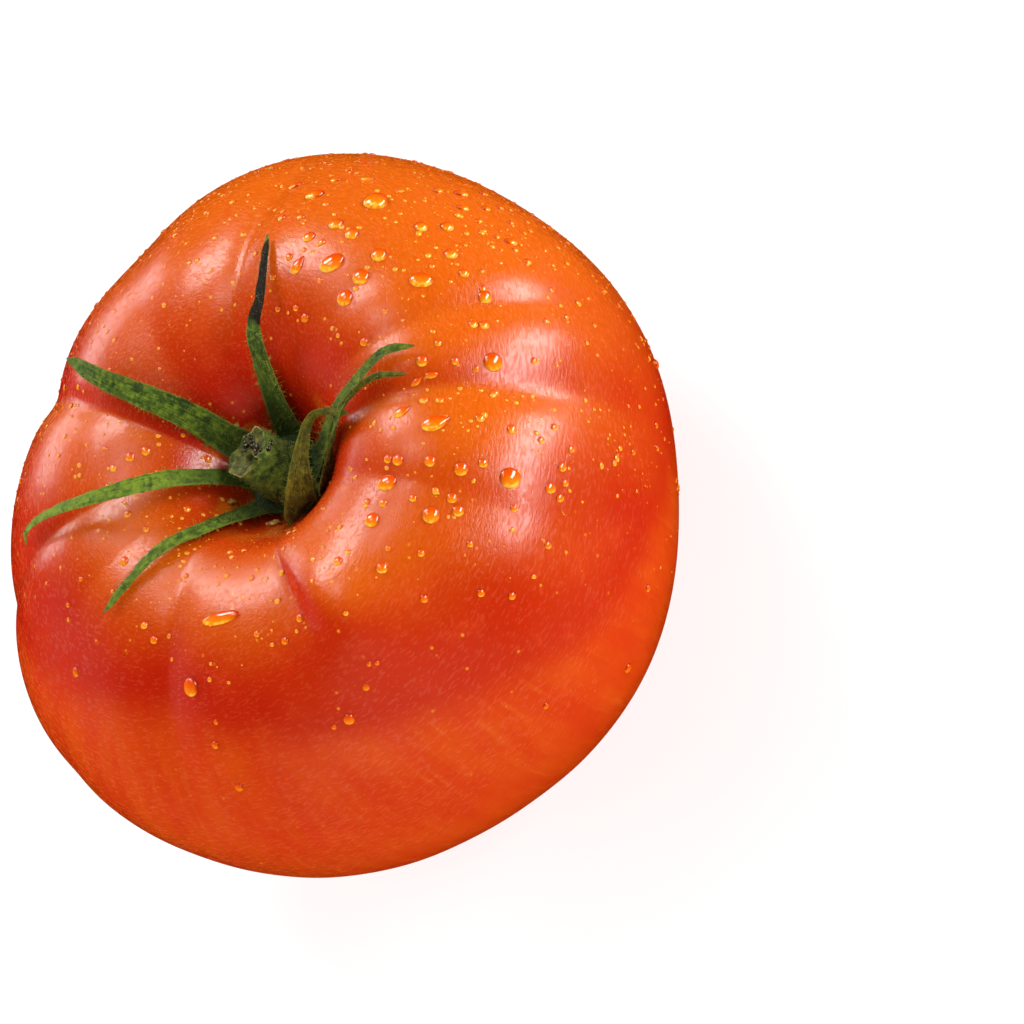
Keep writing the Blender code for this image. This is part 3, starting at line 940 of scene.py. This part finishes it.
def smooth_path(points, count):
    """Evenly spaced points of a Catmull-Rom curve through the given ones, of any size."""
    points = np.array(points, float)
    ends = (2 * points[0] - points[1], 2 * points[-1] - points[-2])
    padded = np.vstack([ends[0], points, ends[1]])
    dense = []
    for before, start, end, after in zip(padded, padded[1:], padded[2:], padded[3:]):
        for t in np.linspace(0, 1, PATH_STEPS, endpoint=False):
            curve = 2 * start + (end - before) * t
            curve = curve + (2 * before - 5 * start + 4 * end - after) * t**2
            curve = curve + (3 * start - before - 3 * end + after) * t**3
            dense.append(curve / 2)
    dense.append(points[-1])
    dense = np.array(dense)
    steps = np.linalg.norm(np.diff(dense[:, :3], axis=0), axis=1)
    along = np.concatenate([[0], np.cumsum(steps)])
    wanted = np.linspace(0, along[-1], count)
    columns = [np.interp(wanted, along, column) for column in dense.T]
    return np.array(columns).T


def blade_frames(tree, sepal):
    """Along a sepal: its middle, its width, and the way its side and its upper face look."""
    root_azimuth, root_width = sepal["root"]
    root = (SEPAL_ROOT_DISTANCE, root_azimuth, SEPAL_ROOT_LIFT, root_width)
    stations = []
    for distance, azimuth, lift, width in (root,) + sepal["points"]:
        place = station_place(tree, distance, azimuth, lift - SEPAL_SINK)
        stations.append((*place, width * MM))
    path = smooth_path(stations, SEPAL_RINGS + 1)
    tangents = np.gradient(path[:, :3], axis=0)
    frames = []
    for index, (row, tangent) in enumerate(zip(path, tangents)):
        turned = min(1.0, index / SEPAL_RINGS / FACE_TURN)
        face = UP.lerp(Vector(sepal["face"]), turned)
        forward = Vector(tangent).normalized()
        sideways = face.cross(forward).normalized()
        share = row[3] / path[:, 3].max()
        frames.append((Vector(row[:3]), row[3], share, sideways, forward.cross(sideways)))
    return frames


def blade_place(tree, frames, sepal, along, around):
    """A point on a sepal, and the way its surface looks there."""
    centre, width, share, sideways, upward = frames[round(along * SEPAL_RINGS)]
    across = math.cos(around)
    side = math.sin(around)
    tip = min(1.0, (1.0 - along) * BLADE_TIP_TAPER) ** BLADE_TIP_POWER
    width = width * (0.12 + 0.88 * tip)
    fold = math.hypot(across, MIDRIB_SOFTNESS) - MIDRIB_SOFTNESS
    fold *= sepal["fold"] * MM * share
    thickness = BLADE_EDGE_THICKNESS
    thickness += (BLADE_MIDDLE_THICKNESS - BLADE_EDGE_THICKNESS) * (1 - across * across)
    thickness *= (0.45 + 0.55 * share) * (0.25 + 0.75 * tip)
    wobble = BLADE_RAGGEDNESS * noise.noise(centre * 700 + Vector((across, side, 0.0)))
    place = centre + sideways * (across * width / 2 + wobble * across)
    place += upward * (fold + side * thickness / 2 + wobble * 0.6)
    lowest = skin_height(tree, place.x, place.y) + SEPAL_CLEARANCE + side * thickness / 2
    place.z = max(place.z, lowest)
    look = sideways * across * thickness + upward * side * width
    return place, look.normalized()


def dried_share(sepal, along, across):
    """How far this spot of a sepal has dried to black."""
    start, end = sepal["dried"]
    grown = min(1.0, max(0.0, (along - start) / DRYING_REACH))
    kept = min(1.0, max(0.0, (end - along) / DRIED_END_REACH))
    return grown * kept + 0.25 * max(0.0, -across) * grown


def add_tube(bm, sides, rings):
    """A closed tube of radius 1 and length 1, cut into rings, which a formula then moves."""
    bmesh.ops.create_cone(
        bm,
        cap_ends=True,
        cap_tris=True,
        segments=sides,
        radius1=1.0,
        radius2=1.0,
        depth=1.0,
    )
    long_edges = [e for e in bm.edges if abs(e.verts[0].co.z - e.verts[1].co.z) > 0.5]
    bmesh.ops.subdivide_edges(bm, edges=long_edges, cuts=rings - 1)


def make_sepal(name, sepal, frames, tree, material):
    """A closed thin blade along its path, thickest along its midrib."""
    bm = bmesh.new()
    layers = blade_layers(bm)
    add_tube(bm, SEPAL_SIDES, SEPAL_RINGS)
    for vertex in bm.verts:
        along = vertex.co.z + 0.5
        from_axis = math.hypot(vertex.co.x, vertex.co.y)
        around = math.atan2(vertex.co.y, vertex.co.x)
        across = math.cos(around) * from_axis
        if from_axis > 0.5:
            place, _ = blade_place(tree, frames, sepal, along, around)
        else:
            place, _ = blade_place(tree, frames, sepal, along, math.pi / 2)
            beneath, _ = blade_place(tree, frames, sepal, along, -math.pi / 2)
            place = (place + beneath) / 2
        tones = (dried_share(sepal, along, across), sepal["olive"], sepal["light"])
        mark_blade(vertex, layers, along, across, tones)
        vertex.co = place
    bmesh.ops.recalc_face_normals(bm, faces=bm.faces)
    return add_piece("sepal_" + name, bm, material, "calyx")


def gather(bm, small):
    """A small mesh joins a large one."""
    small.to_mesh(SCRATCH)
    small.free()
    bm.from_mesh(SCRATCH)


def add_hair(bm, root, direction, length, radius):
    """A thin tapering hair that stands in what carries it."""
    turn = direction.to_track_quat("Z", "Y").to_matrix().to_4x4()
    middle = Matrix.Translation(root + direction * (length * 0.46))
    hair = bmesh.new()
    bmesh.ops.create_cone(
        hair,
        cap_ends=True,
        cap_tris=False,
        segments=3,
        radius1=radius,
        radius2=radius * 0.35,
        depth=length,
        matrix=middle @ turn,
    )
    gather(bm, hair)


def random_direction(draw):
    spread = Vector((draw.gauss(0, 1), draw.gauss(0, 1), draw.gauss(0, 1)))
    return spread.normalized()


def make_calyx_hairs(tree, blades, material):
    """Hairs on the sepals' faces and along their edges, longer towards their roots."""
    draw = random.Random(31)
    bm = bmesh.new()
    for sepal, frames in blades:
        for _ in range(sepal["hairs"]):
            along = draw.random() ** 1.5 * 0.97
            edge = draw.random() < EDGE_HAIRS
            around = draw.choice((0.0, math.pi)) + draw.gauss(0, 0.25)
            if not edge:
                around = draw.uniform(0.1, math.pi - 0.1)
            place, look = blade_place(tree, frames, sepal, along, around)
            direction = (look + random_direction(draw) * HAIR_SPREAD).normalized()
            length = draw.uniform(*HAIR_LENGTHS) * MM * (1.15 - 0.6 * along)
            add_hair(bm, place, direction, length, HAIR_RADIUS * draw.uniform(0.8, 1.3))
    return add_piece("calyx_hairs", bm, material, "calyx")


def stem_place(share, around, foot):
    """A point of the stub: up its wall, then over its lip and into its pitted end."""
    lean = math.tan(math.radians(STEM_LEAN))
    up_wall = min(share / STEM_WALL_SHARE, 1.0)
    inward = max(0.0, (share - STEM_WALL_SHARE) / (1 - STEM_WALL_SHARE))
    radius = STEM_RADIUS + STEM_FLARE * (1 - up_wall) ** 3
    radius *= 1 + 0.05 * math.sin(5 * around + 1.0) * up_wall
    radius *= (1 - inward) * 0.98 + 0.02
    x = HUB_X + radius * math.cos(around)
    y = HUB_Y + radius * math.sin(around) + STEM_LENGTH * up_wall**STEM_BEND * lean
    z = foot + STEM_LENGTH * up_wall
    rim = max(0.0, 1.0 - abs(up_wall - 1.0) * 5) * (1 - inward) ** 2
    z += rim * MM * (0.35 * math.sin(3 * around + 0.8) + 0.25 * math.sin(7 * around))
    z -= STEM_END_PIT * (1 - (1 - inward) ** 2) * (0.7 + 0.3 * math.sin(2 * around))
    z -= radius * math.sin(around) * lean * up_wall
    place = Vector((x, y, z))
    torn = inward * (1 - inward) * 4
    place.z += 0.45 * MM * torn * noise.noise(place * 900)
    return place + noise.noise_vector(place * 800) * (0.07 * MM * (1 - inward) * up_wall)


def make_stem(tree, material):
    """The stub, flared where it leaves the calyx, with a torn and pitted end."""
    bm = bmesh.new()
    broken = bm.verts.layers.float.new("broken")
    lip = bm.verts.layers.float.new("lip")
    add_tube(bm, STEM_SIDES, STEM_ROWS)
    foot = skin_height(tree, HUB_X, HUB_Y) + STEM_SEAT_HEIGHT + STEM_GAP
    for vertex in bm.verts:
        share = vertex.co.z + 0.5
        around = math.atan2(vertex.co.y, vertex.co.x)
        inward = max(0.0, (share - STEM_WALL_SHARE) / (1 - STEM_WALL_SHARE))
        vertex[broken] = min(1.0, inward * 6)
        near_lip = max(0.0, 1 - abs(share - STEM_WALL_SHARE) / STEM_LIP_REACH)
        vertex[lip] = near_lip * (0.55 + 0.45 * math.sin(2 * around + 0.6))
        if math.hypot(vertex.co.x, vertex.co.y) > 0.5:
            vertex.co = stem_place(share, around, foot)
        else:
            ring = [stem_place(share, step * math.pi / 4, foot) for step in range(8)]
            vertex.co = sum(ring, Vector()) / len(ring)
    bmesh.ops.recalc_face_normals(bm, faces=bm.faces)
    return add_piece("stem_stub", bm, material, "stem"), foot


def make_stem_hairs(foot, material):
    """Short fuzz over the wall of the stub."""
    draw = random.Random(57)
    bm = bmesh.new()
    for _ in range(STEM_HAIRS):
        share = draw.uniform(0.02, STEM_WALL_SHARE)
        around = draw.uniform(-math.pi, math.pi)
        root = stem_place(share, around, foot)
        outward = Vector((math.cos(around), math.sin(around), 0.25))
        direction = (outward + random_direction(draw) * 0.6).normalized()
        add_hair(bm, root, direction, draw.uniform(*STEM_HAIR_LENGTHS) * MM, HAIR_RADIUS)
    return add_piece("stem_hairs", bm, material, "stem")


def camera_axes():
    """The camera's place, and the ways of its right, its up and its back."""
    up = Vector((0.0, math.sin(CAMERA_ELEVATION), math.cos(CAMERA_ELEVATION)))
    back = Vector((0.0, -math.cos(CAMERA_ELEVATION), math.sin(CAMERA_ELEVATION)))
    level = Vector((1.0, 0.0, 0.0))
    right = level * math.cos(CAMERA_ROLL) - up * math.sin(CAMERA_ROLL)
    upright = level * math.sin(CAMERA_ROLL) + up * math.cos(CAMERA_ROLL)
    middle = PICTURE_SIDE / 2
    across = (AIM_PIXEL[0] - middle) / FOCAL_PIXELS * CAMERA_DISTANCE
    rise = (middle - AIM_PIXEL[1]) / FOCAL_PIXELS * CAMERA_DISTANCE
    place = back * CAMERA_DISTANCE - right * across - upright * rise
    return place + UP * AIM_HEIGHT, right, upright, back


def pixel_hit(tree, across, down):
    """Where a pixel's line of sight meets the piece, which way that looks, and a pixel's size."""
    place, right, upright, back = camera_axes()
    middle = PICTURE_SIDE / 2
    sight = right * (across - middle) - upright * (down - middle) - back * FOCAL_PIXELS
    spot, look, _, distance = tree.ray_cast(place, sight.normalized())
    if spot is None:
        return None
    return spot, look, distance / FOCAL_PIXELS


def make_beads(stem, material):
    """Dark beads of dried sap on the broken end."""
    draw = random.Random(11)
    tree = make_tree(stem)
    bm = bmesh.new()
    for _ in range(BEADS):
        hit = pixel_hit(tree, draw.gauss(*BEADS_ACROSS), draw.gauss(*BEADS_DOWN))
        if hit is None:
            continue
        size = draw.uniform(*BEAD_SIZES) * MM
        matrix = Matrix.Translation(hit[0]) @ Matrix.Diagonal((1.0, 1.0, 0.8, 1.0))
        bmesh.ops.create_icosphere(bm, subdivisions=2, radius=size, matrix=matrix)
    return add_piece("sap_beads", bm, material, "stem")


def picture_way(turn):
    """The way that lies at this many degrees from the picture's right towards its top."""
    _, right, upright, _ = camera_axes()
    angle = math.radians(turn)
    return right * math.cos(angle) + upright * math.sin(angle)


def laid_flat(way, look):
    """The way along a surface that looks this way."""
    return (way - look * way.dot(look)).normalized()


def make_cork(tree, material):
    """Golden flakes left round the calyx where the petals stood."""
    bm = bmesh.new()
    for across, down, length, width, turn in CORK_FLAKES:
        spot, look, pixel = pixel_hit(tree, across, down)
        lengthwise = laid_flat(picture_way(turn), look)
        sideways = look.cross(lengthwise)
        made = bmesh.ops.create_icosphere(bm, subdivisions=3, radius=1.0)["verts"]
        for vertex in made:
            u, v, w = vertex.co
            crumple = 0.35 * noise.noise(vertex.co * 2.2 + Vector((across, down, 0.0)))
            place = spot + lengthwise * (u * length / 2 * pixel)
            place += sideways * ((v + crumple) * width / 2 * pixel)
            vertex.co = place + look * ((w * 0.35 + crumple * 0.8 + 0.2) * MM)
    return add_piece("corky_flakes", bm, material, "calyx")


def add_drop(bm, spot, look, half_length, half_width, lengthwise, tail, detail):
    """One drop: a low dome, drawn out to a tail where it has run."""
    look = look.normalized()
    lengthwise = laid_flat(lengthwise, look)
    sideways = look.cross(lengthwise)
    lit = laid_flat(DROP_TO_LIGHT, look)
    beside = look.cross(lit)
    height = DROP_HEIGHT * min(half_length, half_width)
    drop = bmesh.new()
    layer = drop.verts.layers.float_vector.new("lens")
    bmesh.ops.create_icosphere(drop, subdivisions=detail, radius=1.0)
    for vertex in drop.verts:
        u, v, w = vertex.co
        flat = lengthwise * u + sideways * v
        vertex[layer] = (flat.dot(beside), flat.dot(lit), 0.0)
        narrowed = 1.0 - tail * max(0.0, u) ** 2
        drawn = 1.0 + 0.5 * tail * max(0.0, u)
        place = spot + lengthwise * (u * drawn * half_length)
        place += sideways * (v * narrowed * half_width)
        lift = w * height * narrowed if w > 0 else w * DROP_SINK * half_width
        vertex.co = place + look * lift
    gather(bm, drop)


def make_drops(tree, material):
    """The drops that the picture shows one by one."""
    bm = bmesh.new()
    bm.verts.layers.float_vector.new("lens")
    drops = [(x, y, r, r, 0, 0.0) for x, y, r in ROUND_DROPS] + list(LONG_DROPS)
    for across, down, half_length, half_width, turn, tail in drops:
        hit = pixel_hit(tree, across, down)
        if hit is None:
            continue
        spot, look, pixel = hit
        half_length *= pixel
        half_width *= pixel
        way = picture_way(turn)
        add_drop(bm, spot, look, half_length, half_width, way, tail, DROP_DETAIL)
    return add_piece("water_drops", bm, material)


def drop_chance(look):
    """Most drops lie on the side that was sprayed."""
    return min(1.0, max(0.04, (look.dot(SPRAYED_SIDE) + 0.25) * 1.1)) ** 1.6


def make_fine_drops(tree, material):
    """Spray too fine to count, on the upper side of the fruit."""
    draw = random.Random(8)
    bm = bmesh.new()
    bm.verts.layers.float_vector.new("lens")
    made = 0
    while made < FINE_DROPS:
        way = random_direction(draw)
        if way.z < LOWEST_SPRAY:
            continue
        spot, look, _, _ = tree.ray_cast(SPRAY_MIDDLE, way)
        if spot is None or look is None:
            continue
        if look.dot(way) < 0:
            look = -look
        if draw.random() > drop_chance(look):
            continue
        if math.hypot(spot.x - HUB_X, spot.y - HUB_Y) < DRY_ROUND_HUB:
            continue
        size = FINE_DROP_SIZE * math.exp(draw.gauss(*FINE_DROP_SPREAD))
        size = min(size, LARGEST_FINE_DROP)
        detail = 2 if size > SMOOTH_FINE_DROP else 1
        lengthwise = random_direction(draw)
        add_drop(bm, spot, look, size, size * draw.uniform(0.8, 1.0), lengthwise, 0.0, detail)
        made += 1
    return add_piece("fine_spray", bm, material)


def make_floor():
    bm = bmesh.new()
    bmesh.ops.create_grid(bm, x_segments=1, y_segments=1, size=FLOOR_REACH)
    floor = link_mesh("floor", bm, floor_material())
    floor.visible_glossy = False


def add_softbox(name, azimuth, elevation, distance, width, height, roll, power, mirrored):
    """A rectangular soft light that looks at the fruit."""
    light = bpy.data.lights.new(name, "AREA")
    light.shape = "RECTANGLE"
    light.size = width
    light.size_y = height
    light.energy = power
    box = bpy.data.objects.new(name, light)
    turn = math.radians(azimuth)
    tilt = math.radians(elevation)
    way = Vector((math.cos(turn) * math.cos(tilt), math.sin(turn) * math.cos(tilt), math.sin(tilt)))
    facing = way.to_track_quat("Z", "Y").to_matrix().to_4x4()
    rolled = facing @ Matrix.Rotation(math.radians(roll), 4, "Z")
    box.matrix_world = Matrix.Translation(way * distance + UP * AIM_HEIGHT) @ rolled
    box.visible_camera = False
    box.visible_glossy = mirrored
    bpy.context.scene.collection.objects.link(box)


def make_world():
    """A pale sweep behind the fruit that darkens towards the front of the studio."""
    world = bpy.data.worlds.new("studio")
    bpy.context.scene.world = world
    net = Net(world, "Background", Color=(1.0, 1.0, 1.0, 1.0))
    front = net.dot(net.add("ShaderNodeTexCoord", output="Generated"), FRONT_OF_STUDIO)
    faded = net.step(front, *SWEEP_FADE)
    net.finish(Strength=SWEEP_BEHIND + (SWEEP_IN_FRONT - SWEEP_BEHIND) * faded)
    world.cycles_visibility.glossy = False


def make_camera():
    place, right, upright, back = camera_axes()
    lens = bpy.data.cameras.new("camera")
    lens.sensor_width = SENSOR_WIDTH
    lens.lens = FOCAL_PIXELS * SENSOR_WIDTH / PICTURE_SIDE
    lens.clip_start = NEAREST_SEEN
    camera = bpy.data.objects.new("camera", lens)
    turn = Matrix((right, upright, back)).transposed().to_4x4()
    camera.matrix_world = Matrix.Translation(place) @ turn
    bpy.context.scene.collection.objects.link(camera)
    bpy.context.scene.camera = camera


def dress():
    skin = make_skin()
    tree = make_tree(skin)
    green = sepal_material()
    hair = hair_material()
    make_receptacle(tree, green)
    blades = []
    for name, sepal in SEPALS.items():
        frames = blade_frames(tree, sepal)
        make_sepal(name, sepal, frames, tree, green)
        blades.append((sepal, frames))
    make_calyx_hairs(tree, blades, hair)
    stem, foot = make_stem(tree, stem_material())
    make_stem_hairs(foot, hair)
    make_beads(stem, bead_material())
    make_cork(tree, cork_material())
    make_drops(tree, drop_material("water_drop", (0.80, 0.070, 0.002), (0.90, 0.23, 0.005)))
    make_fine_drops(tree, drop_material("water_spray", (0.85, 0.16, 0.003), (1.0, 0.42, 0.02)))


dress()
make_floor()
for name, placing in SOFTBOXES.items():
    add_softbox(name, *placing)
make_world()
make_camera()
bpy.context.scene.view_settings.view_transform = "Standard"
